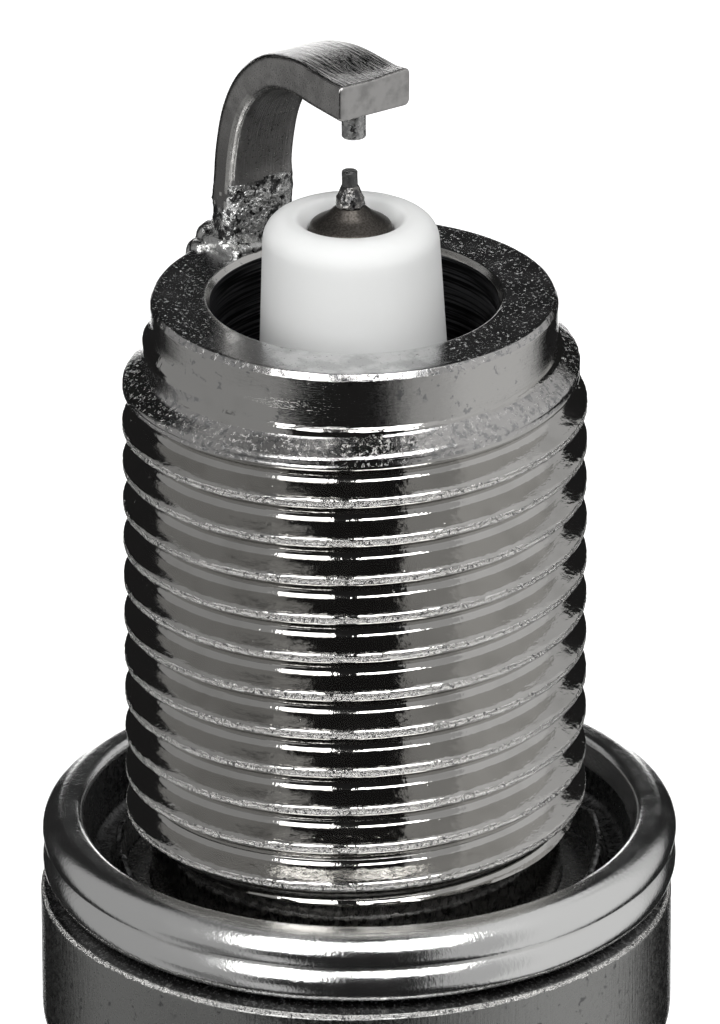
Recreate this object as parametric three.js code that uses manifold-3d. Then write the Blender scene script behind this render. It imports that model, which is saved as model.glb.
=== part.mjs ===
// Spark plug with an M14 x 1.25 thread, 19 mm reach and a 16 mm hexagon.
//
// The plug is built around one axis (+Z points to the firing end) from the pieces that a
// sectioned plug shows: shell, gasket, insulator with its packings, the conductor chain inside
// it, the screw-on terminal nut, and the ground electrode welded to the shell.
//
// Millimetres. The origin is on the axis, in the plane of the shell's gasket seat.
// The leg of the ground electrode stands on the -X side.

import * as THREE from 'three';
import { mergeVertices } from 'three/addons/utils/BufferGeometryUtils.js';
import Module from 'manifold-3d';

const wasm = await Module();
wasm.setup();

// ---------------------------------------------------------------- driving dimensions

const SEGMENTS = 30;              // sides of a large turned piece
const SMALL_SEGMENTS = 18;        // sides of a piece inside the insulator's bore
const FIT = 0.04;                 // gap left between pieces that touch

const THREAD_DIAMETER = 13.95;    // M14, at the bottom of its tolerance
const THREAD_PITCH = 1.25;
const THREAD_REACH = 19;          // gasket seat to the shell's end face
const THREAD_PHASE = 0.06;        // height of a crest at the thread's zero angle
const THREAD_FIRST = 17.6;        // height where the thread begins, below the nose
const THREAD_LAST = 1.75;         // height where the thread runs out, above the seat
const NOSE_RADIUS = 6.09;
const NOSE_CHAMFER = 0.24;
const RELIEF_RADIUS = 6.2;

const COLLAR_RADIUS = 9.57;
const COLLAR_BOTTOM = -5.75;
const BUCKLE_RADIUS = 7.45;
const HEX_ACROSS_FLATS = 16;
const HEX_TOP = -6.95;
const HEX_BOTTOM = -15.0;
const CRIMP_RADIUS = 7.35;
const CRIMP_BOTTOM = -17.25;

const MOUTH_RADIUS = 4.5;         // inner edge of the shell's end face
const NOSE_BORE_RADIUS = 4.3;
const LEDGE_RADIUS = 3.72;        // step in the bore that the insulator rests on
const LEDGE_TOP = 10.6;
const SEAT_TOP = 9.0;
const SEAT_SLOPE = 1.15;          // fall of the conical seat per unit of radius
const BODY_BORE_RADIUS = 4.42;
const CHAMBER_RADIUS = 5.95;      // bore round the insulator's flange
const CHAMBER_TOP = -3.3;

const INSULATOR_TIP = 21.53;
const INSULATOR_END = -41.2;
const INSULATOR_NECK_RADIUS = 5.1;
const ELECTRODE_BORE_RADIUS = 1.31;
const STUD_BORE_RADIUS = 2.0;
const BORE_STEP = 5.6;            // where the bore widens behind the centre electrode
const RIB_COUNT = 5;
const RIB_PITCH = 3.0;
const RIB_DEPTH = 0.55;
const FIRST_RIB = -19.6;

const ELECTRODE_RADIUS = 1.27;
const TIP_RADIUS = 0.235;
const TIP_TOP = 23.0;
const SPARK_GAP = 1.1;
const PIN_RADIUS = 0.36;
const STRAP_WIDTH = 2.25;
const STRAP_THICKNESS = 1.13;
const STRAP_RADIUS = 5.2;         // distance of the leg's middle from the axis

const STUD_THREAD_RADIUS = 1.97;  // M4 x 0.7
const STUD_PITCH = 0.7;
const NUT_TOP = -42.05;
const NUT_BOTTOM = -50.5;
const NUT_RADIUS = 3.175;         // SAE terminal, 6.35 mm across

// ---------------------------------------------------------------- materials

function material(colour, roughness, metalness) {
  return new THREE.MeshStandardMaterial({ color: colour, roughness, metalness });
}

const MATERIALS = {
  plated_steel: material(0xc9cbcd, 0.22, 1.0),
  gasket_steel: material(0xb9bcbf, 0.34, 1.0),
  soft_steel: material(0x9a9da0, 0.45, 1.0),
  alumina: material(0xf1f2f1, 0.55, 0.0),
  nickel_alloy: material(0x6f6f6e, 0.42, 1.0),
  weld_metal: material(0x8b8c8c, 0.5, 1.0),
  iridium: material(0x55565a, 0.3, 1.0),
  copper: material(0xb87346, 0.35, 1.0),
  sealing_glass: material(0x3c3f45, 0.4, 0.2),
  resistor_glass: material(0x2a2a2c, 0.7, 0.0),
  talc: material(0xe7e4dc, 0.9, 0.0),
};

// ---------------------------------------------------------------- shape helpers

// Turns a lathe's Y axis into the plug's Z axis.
function standUp(geometry) {
  return geometry.rotateX(Math.PI / 2);
}

// Turned piece. The profile lists [radius, height] and runs up the outside.
// A profile that does not start on the axis is closed on itself.
function turned(profile, segments = SEGMENTS) {
  const points = profile.map(([radius, height]) => new THREE.Vector2(radius, height));
  if (points[0].x > 0) points.push(points[0].clone());
  return standUp(new THREE.LatheGeometry(points, segments));
}

// Plain disc or rod between two heights.
function rod(radius, bottom, top, segments = SMALL_SEGMENTS) {
  return turned([[0, bottom], [radius, bottom], [radius, top], [0, top]], segments);
}

// Points on an ellipse's arc in the profile plane, both ends included.
function arc(centre, radii, fromDegrees, toDegrees, steps) {
  const points = [];
  for (let step = 0; step <= steps; step += 1) {
    const degrees = fromDegrees + (toDegrees - fromDegrees) * step / steps;
    const angle = THREE.MathUtils.degToRad(degrees);
    points.push([
      centre[0] + radii[0] * Math.cos(angle),
      centre[1] + radii[1] * Math.sin(angle),
    ]);
  }
  return points;
}

// Closed manifold-3d solid from a closed geometry.
function toSolid(geometry) {
  geometry.deleteAttribute('normal');
  geometry.deleteAttribute('uv');
  const merged = mergeVertices(geometry, 1e-4);
  const triangles = [];
  for (let i = 0; i < merged.index.count; i += 3) {
    const [a, b, c] = [0, 1, 2].map((corner) => merged.index.getX(i + corner));
    if (a !== b && b !== c && c !== a) triangles.push(a, b, c);
  }
  return new wasm.Manifold(new wasm.Mesh({
    numProp: 3,
    vertProperties: new Float32Array(merged.attributes.position.array),
    triVerts: new Uint32Array(triangles),
  }));
}

function toGeometry(solid) {
  const mesh = solid.getMesh();
  const geometry = new THREE.BufferGeometry();
  geometry.setAttribute('position', new THREE.BufferAttribute(mesh.vertProperties, 3));
  geometry.setIndex(new THREE.BufferAttribute(mesh.triVerts, 1));
  geometry.computeVertexNormals();
  return geometry;
}

// Right-hand external thread on a turned piece.
// `below` and `above` are the parts of the profile before and after the threaded band. The rows
// of the band climb one pitch in a turn and are held at the band's ends, where they fade out.
function threaded(below, above, thread, segments) {
  const { bottom, top, pitch, phase, crest, root, fade } = thread;
  const crestHalf = pitch / 16;
  const rootHalf = pitch / 2 - pitch / 8;
  const rows = [];
  const firstTurn = Math.floor((bottom - phase) / pitch) - 2;
  const lastTurn = Math.ceil((top - phase) / pitch) + 1;
  for (let turn = firstTurn; turn <= lastTurn; turn += 1) {
    const middle = phase + turn * pitch;
    rows.push({ height: middle - rootHalf, radius: root });
    rows.push({ height: middle - crestHalf, radius: crest });
    rows.push({ height: middle + crestHalf, radius: crest });
    rows.push({ height: middle + rootHalf, radius: root });
  }
  const start = below.at(-1);
  const end = above[0];
  const band = rows.map(() => [start[0], bottom]);
  const profile = [...below, ...band, ...above];
  const closed = profile[0][0] > 0;
  const points = profile.map(([radius, height]) => new THREE.Vector2(radius, height));
  if (closed) points.push(points[0].clone());
  const geometry = new THREE.LatheGeometry(points, segments);
  const position = geometry.attributes.position;
  for (let side = 0; side <= segments; side += 1) {
    const turnShare = side / segments;
    const angle = 2 * Math.PI * turnShare;
    rows.forEach((row, index) => {
      const height = THREE.MathUtils.clamp(row.height + pitch * turnShare, bottom, top);
      const core = THREE.MathUtils.mapLinear(height, bottom, top, start[0], end[0]);
      const fromEnd = Math.min(height - bottom, top - height);
      const depth = THREE.MathUtils.smoothstep(fromEnd, 0, fade);
      const radius = THREE.MathUtils.lerp(core, row.radius, depth);
      const vertex = side * points.length + below.length + index;
      position.setXYZ(vertex, radius * Math.sin(angle), height, radius * Math.cos(angle));
    });
  }
  return standUp(geometry);
}

const plug = new THREE.Group();

function add(name, geometry, finish) {
  const mesh = new THREE.Mesh(geometry, finish);
  mesh.name = name;
  plug.add(mesh);
  return mesh;
}

// ---------------------------------------------------------------- shell

// Steel shell: thread, gasket seat and collar, hexagon, and the lip crimped over the insulator.
function shell() {
  const seatBottom = SEAT_TOP - SEAT_SLOPE * (BODY_BORE_RADIUS - LEDGE_RADIUS);
  const lipRadius = INSULATOR_NECK_RADIUS + FIT;
  const outsideBelow = [
    [lipRadius, CRIMP_BOTTOM],
    [CRIMP_RADIUS - 1.1, CRIMP_BOTTOM + 0.12],
    [CRIMP_RADIUS - 0.35, CRIMP_BOTTOM + 0.7],
    [CRIMP_RADIUS, CRIMP_BOTTOM + 1.5],
    [CRIMP_RADIUS, HEX_BOTTOM],
    [8.4, HEX_BOTTOM],
    [9.2, HEX_BOTTOM + 0.5],
    [9.2, HEX_TOP - 0.5],
    [8.4, HEX_TOP],
    [BUCKLE_RADIUS, HEX_TOP],
    [BUCKLE_RADIUS, COLLAR_BOTTOM],
    ...arc([8.4, -4.1], [COLLAR_RADIUS - 8.4, 1.65], -90, 0, 4),
    [COLLAR_RADIUS, -0.33],
    [9.25, 0],
    [RELIEF_RADIUS, 0],
    [RELIEF_RADIUS, THREAD_LAST],
  ];
  const outsideAbove = [
    [NOSE_RADIUS, THREAD_FIRST],
    [NOSE_RADIUS, THREAD_REACH - NOSE_CHAMFER],
    [NOSE_RADIUS - 0.1, THREAD_REACH],
    [MOUTH_RADIUS, THREAD_REACH],
    [NOSE_BORE_RADIUS, THREAD_REACH - 0.22],
    [NOSE_BORE_RADIUS, LEDGE_TOP + 0.7],
    [LEDGE_RADIUS, LEDGE_TOP],
    [LEDGE_RADIUS, SEAT_TOP],
    [BODY_BORE_RADIUS, seatBottom],
    [BODY_BORE_RADIUS, CHAMBER_TOP + 0.9],
    [CHAMBER_RADIUS, CHAMBER_TOP],
    [CHAMBER_RADIUS, CRIMP_BOTTOM + 1.05],
    [lipRadius, CRIMP_BOTTOM + 0.5],
  ];
  const thread = {
    bottom: THREAD_LAST,
    top: THREAD_FIRST,
    pitch: THREAD_PITCH,
    phase: THREAD_PHASE,
    crest: THREAD_DIAMETER / 2,
    root: THREAD_DIAMETER / 2 - 0.541 * THREAD_PITCH,
    fade: 0.75 * THREAD_PITCH,
  };
  let body = toSolid(threaded(outsideBelow, outsideAbove, thread, SEGMENTS));
  const height = HEX_TOP - HEX_BOTTOM;
  const cutDepth = 3;
  for (let flat = 0; flat < 6; flat += 1) {
    const block = new THREE.BoxGeometry(14, cutDepth, height);
    block.translate(0, (HEX_ACROSS_FLATS + cutDepth) / 2, (HEX_TOP + HEX_BOTTOM) / 2);
    block.rotateZ(flat * Math.PI / 3);
    body = body.subtract(toSolid(block));
  }
  return toGeometry(body);
}

add('shell', shell(), MATERIALS.plated_steel);

// ---------------------------------------------------------------- gasket

const GASKET_HEIGHT = 2.25;
const GASKET_RADIUS = 9.6;

// Folded crush gasket: a fat rolled rim, and a thin inner skirt that keeps it on the thread.
function gasket() {
  return turned([
    [7.15, 0.06],
    [9.1, FIT],
    [9.5, 0.35],
    [GASKET_RADIUS, 0.8],
    [GASKET_RADIUS - 0.02, 1.3],
    [GASKET_RADIUS, 1.6],
    [9.45, 2.0],
    [9.15, GASKET_HEIGHT],
    [8.6, GASKET_HEIGHT],
    [8.35, 2.0],
    [8.25, 1.2],
    [8.2, 0.7],
    [7.9, 0.5],
    [7.15, 0.46],
  ]);
}

add('gasket', gasket(), MATERIALS.gasket_steel);

// ---------------------------------------------------------------- insulator and packings

const CONE_OUTER = 4.36;
const PACKING_THICKNESS = 0.3;

function seatHeight(radius) {
  return SEAT_TOP - SEAT_SLOPE * (radius - LEDGE_RADIUS);
}

// Alumina insulator: nose, conical seat, flange held by the crimp, ribs, terminal end.
function insulator() {
  const coneDrop = PACKING_THICKNESS + 2 * FIT;
  const ribs = [];
  for (let rib = RIB_COUNT - 1; rib >= 0; rib -= 1) {
    const top = FIRST_RIB - rib * RIB_PITCH;
    const low = INSULATOR_NECK_RADIUS - RIB_DEPTH;
    ribs.push([low, top - 0.9]);
    ribs.push([low, top - 0.4]);
    ribs.push([INSULATOR_NECK_RADIUS, top]);
    ribs.push([INSULATOR_NECK_RADIUS, top + RIB_PITCH - 1.3]);
  }
  ribs.pop();
  return turned([
    [STUD_BORE_RADIUS, INSULATOR_END],
    [3.45, INSULATOR_END],
    [3.7, INSULATOR_END + 0.25],
    [4.2, -36.5],
    ...ribs,
    [INSULATOR_NECK_RADIUS, -12.0],
    [5.85, -11.0],
    [5.85, CHAMBER_TOP - 0.5],
    [4.34, CHAMBER_TOP + 0.4],
    [4.34, seatHeight(4.34) - coneDrop],
    [3.5, seatHeight(3.5) - coneDrop],
    [3.24, seatHeight(3.24) - coneDrop + 0.1],
    [2.8, 17.4],
    [2.64, 20.84],
    ...arc([1.9, 20.7], [0.74, INSULATOR_TIP - 20.7], 30, 90, 3),
    [1.55, 21.44],
    [ELECTRODE_BORE_RADIUS, 21.15],
    [ELECTRODE_BORE_RADIUS, BORE_STEP],
    [STUD_BORE_RADIUS, BORE_STEP],
  ]);
}

add('insulator', insulator(), MATERIALS.alumina);

// Thin conical washer between the shell's inner ledge and the insulator's shoulder.
add('seat_packing', turned([
  [3.76, seatHeight(3.76) - FIT - PACKING_THICKNESS],
  [CONE_OUTER, seatHeight(CONE_OUTER) - FIT - PACKING_THICKNESS],
  [CONE_OUTER, seatHeight(CONE_OUTER) - FIT],
  [3.76, seatHeight(3.76) - FIT],
]), MATERIALS.soft_steel);

const PACKING_MIDDLE = (INSULATOR_NECK_RADIUS + CHAMBER_RADIUS) / 2;
const WIRE_RADIUS = 0.36;
const LOWER_WIRE_HEIGHT = -12.5;
const UPPER_WIRE_HEIGHT = -15.75;

// Wire rings that close the talc filling at both ends.
function wireRing(height) {
  const section = arc([PACKING_MIDDLE, height], [WIRE_RADIUS, WIRE_RADIUS], 0, 360, 8);
  section.pop();
  return turned(section);
}

add('lower_packing_ring', wireRing(LOWER_WIRE_HEIGHT), MATERIALS.soft_steel);
add('upper_packing_ring', wireRing(UPPER_WIRE_HEIGHT), MATERIALS.soft_steel);

// Talc powder pressed between the two rings.
add('talc_filling', turned([
  [INSULATOR_NECK_RADIUS + FIT, UPPER_WIRE_HEIGHT + WIRE_RADIUS + FIT],
  [CHAMBER_RADIUS - 2 * FIT, UPPER_WIRE_HEIGHT + WIRE_RADIUS + FIT],
  [CHAMBER_RADIUS - 2 * FIT, LOWER_WIRE_HEIGHT - WIRE_RADIUS - FIT],
  [INSULATOR_NECK_RADIUS + FIT, LOWER_WIRE_HEIGHT - WIRE_RADIUS - FIT],
]), MATERIALS.talc);

// ---------------------------------------------------------------- centre conductor

const HEAD_BOTTOM = 4.4;
const BOSS_RADIUS = 1.3;
const BOSS_BOTTOM = 3.2;
const CORE_RADIUS = 0.75;
const CORE_TOP = 19.4;
const CONE_TOP = 21.8;
const WELD_TOP = 22.4;
const SEAL_RADIUS = 1.94;
const LOWER_SEAL_BOTTOM = -1.0;
const RESISTOR_BOTTOM = -9.5;
const UPPER_SEAL_BOTTOM = -15.0;
const STUD_TIP = -11.5;
const STUD_TIP_RADIUS = 1.55;

// Nickel jacket of the centre electrode, open at the rear where the copper core was pressed in.
add('center_electrode', turned([
  [0, CORE_TOP + 0.4],
  [CORE_RADIUS + FIT, CORE_TOP],
  [CORE_RADIUS + FIT, BOSS_BOTTOM],
  [BOSS_RADIUS, BOSS_BOTTOM],
  [BOSS_RADIUS, HEAD_BOTTOM],
  [SEAL_RADIUS, HEAD_BOTTOM],
  [SEAL_RADIUS, BORE_STEP - 0.5],
  [ELECTRODE_RADIUS, BORE_STEP - FIT],
  [ELECTRODE_RADIUS, 21.15],
  [1.12, 21.38],
  [0.7, 21.58],
  [0.42, CONE_TOP],
  [0, CONE_TOP],
], SMALL_SEGMENTS), MATERIALS.nickel_alloy);

add('center_electrode_core', turned([
  [0, BOSS_BOTTOM],
  [CORE_RADIUS, BOSS_BOTTOM],
  [CORE_RADIUS, CORE_TOP - FIT],
  [0, CORE_TOP + 0.3],
], SMALL_SEGMENTS), MATERIALS.copper);

// Weld nugget between the nickel cone and the fine tip.
add('tip_weld', turned([
  [0, CONE_TOP + 0.01],
  [0.4, CONE_TOP + 0.01],
  [0.43, CONE_TOP + 0.2],
  [0.38, CONE_TOP + 0.4],
  [TIP_RADIUS + 0.03, WELD_TOP],
  [0, WELD_TOP],
], SMALL_SEGMENTS), MATERIALS.weld_metal);

add('iridium_tip', rod(TIP_RADIUS, WELD_TOP + 0.01, TIP_TOP), MATERIALS.iridium);

// Conductive glass that seals the electrode's head in the bore.
add('lower_glass_seal', turned([
  [0, LOWER_SEAL_BOTTOM],
  [SEAL_RADIUS, LOWER_SEAL_BOTTOM],
  [SEAL_RADIUS, HEAD_BOTTOM - FIT],
  [BOSS_RADIUS + FIT, HEAD_BOTTOM - FIT],
  [BOSS_RADIUS + FIT, BOSS_BOTTOM - FIT],
  [0, BOSS_BOTTOM - FIT],
], SMALL_SEGMENTS), MATERIALS.sealing_glass);

add('resistor', rod(SEAL_RADIUS, RESISTOR_BOTTOM, LOWER_SEAL_BOTTOM - FIT), MATERIALS.resistor_glass);

add('upper_glass_seal', turned([
  [0, STUD_TIP + FIT],
  [STUD_TIP_RADIUS + FIT, STUD_TIP + FIT],
  [STUD_TIP_RADIUS + FIT, UPPER_SEAL_BOTTOM],
  [SEAL_RADIUS, UPPER_SEAL_BOTTOM],
  [SEAL_RADIUS, RESISTOR_BOTTOM - FIT],
  [0, RESISTOR_BOTTOM - FIT],
], SMALL_SEGMENTS), MATERIALS.sealing_glass);

// Terminal stud: knurled end in the glass, shank, flange on the insulator, M4 thread.
function terminalStud() {
  const threadEnd = NUT_BOTTOM + 1.1;
  const flangeTop = INSULATOR_END - FIT;
  const flangeBottom = NUT_TOP + FIT;
  const below = [
    [0, threadEnd - 0.4],
    [1.2, threadEnd - 0.4],
    [1.6, threadEnd],
  ];
  const above = [
    [1.6, flangeBottom - 0.3],
    [1.6, flangeBottom],
    [2.9, flangeBottom],
    [2.9, flangeTop],
    [1.9, flangeTop],
    [1.9, UPPER_SEAL_BOTTOM - 0.6],
    [STUD_TIP_RADIUS, UPPER_SEAL_BOTTOM - 0.2],
    [STUD_TIP_RADIUS, STUD_TIP - 0.3],
    [STUD_TIP_RADIUS - 0.3, STUD_TIP],
    [0, STUD_TIP],
  ];
  const thread = {
    bottom: threadEnd,
    top: flangeBottom - 0.3,
    pitch: STUD_PITCH,
    phase: 0,
    crest: STUD_THREAD_RADIUS,
    root: STUD_THREAD_RADIUS - 0.541 * STUD_PITCH,
    fade: 0.6 * STUD_PITCH,
  };
  return toGeometry(toSolid(threaded(below, above, thread, 12)));
}

add('terminal_stud', terminalStud(), MATERIALS.plated_steel);

// Screw-on terminal nut with the waist that the ignition lead's clip snaps into.
function terminalNut() {
  const length = NUT_TOP - NUT_BOTTOM;
  const boreRadius = STUD_THREAD_RADIUS + 0.08;
  return turned([
    [0, NUT_BOTTOM],
    [2.5, NUT_BOTTOM],
    [NUT_RADIUS - 0.2, NUT_BOTTOM + 0.3],
    [NUT_RADIUS, NUT_BOTTOM + 0.8],
    [NUT_RADIUS, NUT_BOTTOM + 0.4 * length],
    [2.7, NUT_BOTTOM + 0.47 * length],
    [2.7, NUT_BOTTOM + 0.66 * length],
    [NUT_RADIUS, NUT_BOTTOM + 0.75 * length],
    [NUT_RADIUS, NUT_TOP - 0.2],
    [NUT_RADIUS - 0.2, NUT_TOP],
    [boreRadius + 0.2, NUT_TOP],
    [boreRadius, NUT_TOP - 0.2],
    [boreRadius, NUT_BOTTOM + 0.65],
    [0, NUT_BOTTOM + 0.65],
  ], SMALL_SEGMENTS);
}

add('terminal_nut', terminalNut(), MATERIALS.plated_steel);

// ---------------------------------------------------------------- ground electrode

// Middle line of the strap in the XZ plane, from the shell's end face to its free end.
const STRAP_LINE = [
  [-STRAP_RADIUS, THREAD_REACH + 0.02],
  [-STRAP_RADIUS, 21.0],
  [-5.1, 22.2],
  [-4.75, 23.5],
  [-4.05, 24.6],
  [-3.0, 25.38],
  [-1.7, 25.7],
  [-0.4, 25.72],
  [1.03, 25.7],
];
const STRAP_STEPS = 24;

// Strap of square nickel section, bent over the centre electrode.
function groundElectrode() {
  const line = new THREE.SplineCurve(STRAP_LINE.map(([x, z]) => new THREE.Vector2(x, z)));
  const outer = [];
  const inner = [];
  for (let step = 0; step <= STRAP_STEPS; step += 1) {
    const middle = line.getPoint(step / STRAP_STEPS);
    const along = line.getTangent(step / STRAP_STEPS);
    if (step === 0) along.set(0, 1);
    if (step === STRAP_STEPS) along.set(1, 0);
    const across = new THREE.Vector2(-along.y, along.x).multiplyScalar(STRAP_THICKNESS / 2);
    outer.push(middle.clone().add(across));
    inner.push(middle.clone().sub(across));
  }
  const outline = new THREE.Shape([...outer, ...inner.reverse()]);
  const strap = new THREE.ExtrudeGeometry(outline, { depth: STRAP_WIDTH, bevelEnabled: false });
  strap.translate(0, 0, -STRAP_WIDTH / 2);
  return standUp(strap);
}

add('ground_electrode', groundElectrode(), MATERIALS.nickel_alloy);

// Weld flash squeezed out round the foot of the strap.
function groundElectrodeWeld() {
  const flash = new THREE.Shape([
    new THREE.Vector2(-6.3, -1.2),
    new THREE.Vector2(-6.0, -1.55),
    new THREE.Vector2(-4.8, -1.55),
    new THREE.Vector2(-4.45, -1.25),
    new THREE.Vector2(-4.45, 1.25),
    new THREE.Vector2(-4.8, 1.55),
    new THREE.Vector2(-6.0, 1.55),
    new THREE.Vector2(-6.3, 1.2),
  ]);
  const reachX = STRAP_THICKNESS / 2 + FIT;
  const reachY = STRAP_WIDTH / 2 + FIT;
  flash.holes.push(new THREE.Path([
    new THREE.Vector2(-STRAP_RADIUS - reachX, -reachY),
    new THREE.Vector2(-STRAP_RADIUS - reachX, reachY),
    new THREE.Vector2(-STRAP_RADIUS + reachX, reachY),
    new THREE.Vector2(-STRAP_RADIUS + reachX, -reachY),
  ]));
  const bead = new THREE.ExtrudeGeometry(flash, { depth: 0.5, bevelEnabled: false });
  bead.translate(0, 0, THREAD_REACH + 0.02);
  return bead;
}

add('ground_electrode_weld', groundElectrodeWeld(), MATERIALS.weld_metal);

// Precious-metal pin under the strap, facing the tip across the spark gap.
const STRAP_UNDERSIDE = 25.72 - STRAP_THICKNESS / 2 - 0.03;
const PIN_WELD_BOTTOM = STRAP_UNDERSIDE - 0.12;

add('ground_pin', rod(PIN_RADIUS, TIP_TOP + SPARK_GAP, STRAP_UNDERSIDE), MATERIALS.iridium);

add('ground_pin_weld', turned([
  [PIN_RADIUS + 0.01, PIN_WELD_BOTTOM],
  [PIN_RADIUS + 0.05, PIN_WELD_BOTTOM],
  [PIN_RADIUS + 0.12, STRAP_UNDERSIDE - 0.04],
  [PIN_RADIUS + 0.12, STRAP_UNDERSIDE],
  [PIN_RADIUS + 0.01, STRAP_UNDERSIDE],
], SMALL_SEGMENTS), MATERIALS.weld_metal);

export default plug;
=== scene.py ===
"""Looks of the spark plug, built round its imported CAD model.

Every visible CAD node is replaced by a fine mesh of the same size, or close to it: turned pieces
are made from outlines with rounded corners, the threads from a helical grid, the strap by a
sweep, and the welds from remeshed blobs. Lengths are in millimetres until a mesh is made.
"""

import math

import bmesh
import bpy
import numpy as np
from mathutils import Matrix, Vector


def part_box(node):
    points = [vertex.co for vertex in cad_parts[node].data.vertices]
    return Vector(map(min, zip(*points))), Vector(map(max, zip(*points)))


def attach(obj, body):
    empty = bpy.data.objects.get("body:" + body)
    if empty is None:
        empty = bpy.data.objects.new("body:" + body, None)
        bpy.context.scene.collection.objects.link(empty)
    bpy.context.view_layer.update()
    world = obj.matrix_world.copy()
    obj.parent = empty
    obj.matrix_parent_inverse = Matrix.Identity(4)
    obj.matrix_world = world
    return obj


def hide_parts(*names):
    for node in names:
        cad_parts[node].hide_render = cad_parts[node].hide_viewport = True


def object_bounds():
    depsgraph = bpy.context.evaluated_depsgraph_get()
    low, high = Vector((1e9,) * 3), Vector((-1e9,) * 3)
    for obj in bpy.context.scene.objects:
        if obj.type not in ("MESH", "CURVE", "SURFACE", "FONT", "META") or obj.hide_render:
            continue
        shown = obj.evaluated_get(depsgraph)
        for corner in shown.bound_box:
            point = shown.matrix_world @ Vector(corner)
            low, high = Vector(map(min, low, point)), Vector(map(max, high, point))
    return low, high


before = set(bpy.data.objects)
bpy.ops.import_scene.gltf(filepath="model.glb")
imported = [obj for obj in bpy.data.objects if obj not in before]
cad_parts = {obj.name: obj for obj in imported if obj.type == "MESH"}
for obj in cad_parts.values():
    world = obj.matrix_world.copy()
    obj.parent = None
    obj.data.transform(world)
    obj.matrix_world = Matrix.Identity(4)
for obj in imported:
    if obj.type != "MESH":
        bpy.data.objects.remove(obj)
cad_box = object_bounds()

MM = 0.001
COLUMNS = 360                 # columns of a large turned mesh; the hexagon needs a multiple of six
MEDIUM_COLUMNS = 180
SMALL_COLUMNS = 120

# ---------- sizes, from the frame


def heights(node):
    """Lowest and highest point of a CAD node, in millimetres."""
    low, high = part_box(node)
    return low.z / MM, high.z / MM


CRIMP_BOTTOM, REACH = heights("shell")
INSULATOR_END, INSULATOR_TIP = heights("insulator")
NUT_BOTTOM, NUT_TOP = heights("terminal_nut")
GASKET_TOP = heights("gasket")[1]
TIP_TOP = heights("iridium_tip")[1]
PIN_BOTTOM = heights("ground_pin")[0]
COLLAR_RADIUS = 9.57
NOSE_RADIUS = 6.09
RELIEF_RADIUS = 6.2
THREAD_RADIUS = 6.96
THREAD_PITCH = 1.25
THREAD_PHASE = 0.37           # height of a crest where the helix crosses +X
THREAD_LAND = 0.115           # half the width of a crest
THREAD_FILLET = 0.26          # radius of a root
THREAD_FULL = 16.48           # the highest crest that is still full
THREAD_FIRST = 18.4           # heights between which the thread's grid stands
THREAD_LAST = 1.75
MOUTH_RADIUS = 4.45
BORE_RADIUS = 4.3
COLLAR_BOTTOM = -5.75
HEX_TOP = -6.95
HEX_BOTTOM = -15.0
HEX_FLAT = 8.0
GASKET_RADIUS = 9.6
TIP_RADIUS = 0.235
PIN_RADIUS = 0.36

CAMERA_AZIMUTH = math.radians(55.4)
CAMERA_ELEVATION = math.radians(23.88)
RIGHTWARDS = np.array([math.cos(CAMERA_AZIMUTH), math.sin(CAMERA_AZIMUTH)])

# ---------- numbers and noise


def lattice(cells):
    """Repeatable random value from 0 to 1 for each integer cell."""
    x, y, z = (cells[..., axis].astype(np.int64) for axis in range(3))
    mixed = (x * 73856093) ^ (y * 19349663) ^ (z * 83492791)
    mixed = (mixed ^ (mixed >> 13)) * 1274126177
    mixed = mixed & 0x7FFFFFFF
    mixed = (mixed ^ (mixed >> 15)) * 668265263
    return (mixed & 0xFFFFFF) / float(0xFFFFFF)


def value_noise(points):
    """Smooth noise from -1 to 1 at points of shape (..., 3), one cell per unit."""
    cell = np.floor(points).astype(np.int64)
    part = points - cell
    part = part * part * (3 - 2 * part)
    total = np.zeros(points.shape[:-1])
    for corner in range(8):
        offset = np.array([corner & 1, (corner >> 1) & 1, (corner >> 2) & 1])
        weight = np.prod(np.where(offset == 1, part, 1 - part), axis=-1)
        total += weight * lattice(cell + offset)
    return total * 2 - 1


def fractal(points, octaves=3):
    """Sum of octaves of smooth noise, about -1 to 1."""
    total = np.zeros(points.shape[:-1])
    size = 1.0
    for octave in range(octaves):
        total += size * value_noise(points * 2 ** octave + 17.3 * octave)
        size *= 0.5
    return total / 1.75


def smoothstep(value, low, high):
    share = np.clip((value - low) / (high - low), 0, 1)
    return share * share * (3 - 2 * share)


# ---------- outlines


def rounded(corners, closed):
    """Outline with its corners rounded. A corner is (radius, height, fillet)."""
    count = len(corners)
    outline = []
    for index, (radius, height, fillet) in enumerate(corners):
        here = np.array([radius, height], float)
        is_end = not closed and index in (0, count - 1)
        before = np.array(corners[index - 1][:2], float) - here
        after = np.array(corners[(index + 1) % count][:2], float) - here
        room = 0.49 * min(np.linalg.norm(before), np.linalg.norm(after))
        before, after = before / np.linalg.norm(before), after / np.linalg.norm(after)
        half_angle = math.acos(np.clip(before @ after, -1, 1)) / 2
        if is_end or fillet == 0 or half_angle > math.radians(89.9):
            outline.append(here)
            continue
        tangent = min(fillet / math.tan(half_angle), room)
        fillet = tangent * math.tan(half_angle)
        middle = (before + after) / np.linalg.norm(before + after)
        centre = here + middle * fillet / math.sin(half_angle)
        first = here + before * tangent - centre
        last = here + after * tangent - centre
        sweep = math.copysign(math.pi - 2 * half_angle, first[0] * last[1] - first[1] * last[0])
        steps = max(2, round(abs(math.degrees(sweep)) / 9))
        for step in range(steps + 1):
            cosine, sine = math.cos(sweep * step / steps), math.sin(sweep * step / steps)
            outline.append(centre + np.array([[cosine, -sine], [sine, cosine]]) @ first)
    if closed:
        outline.append(outline[0])
    return np.array(outline)


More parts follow.
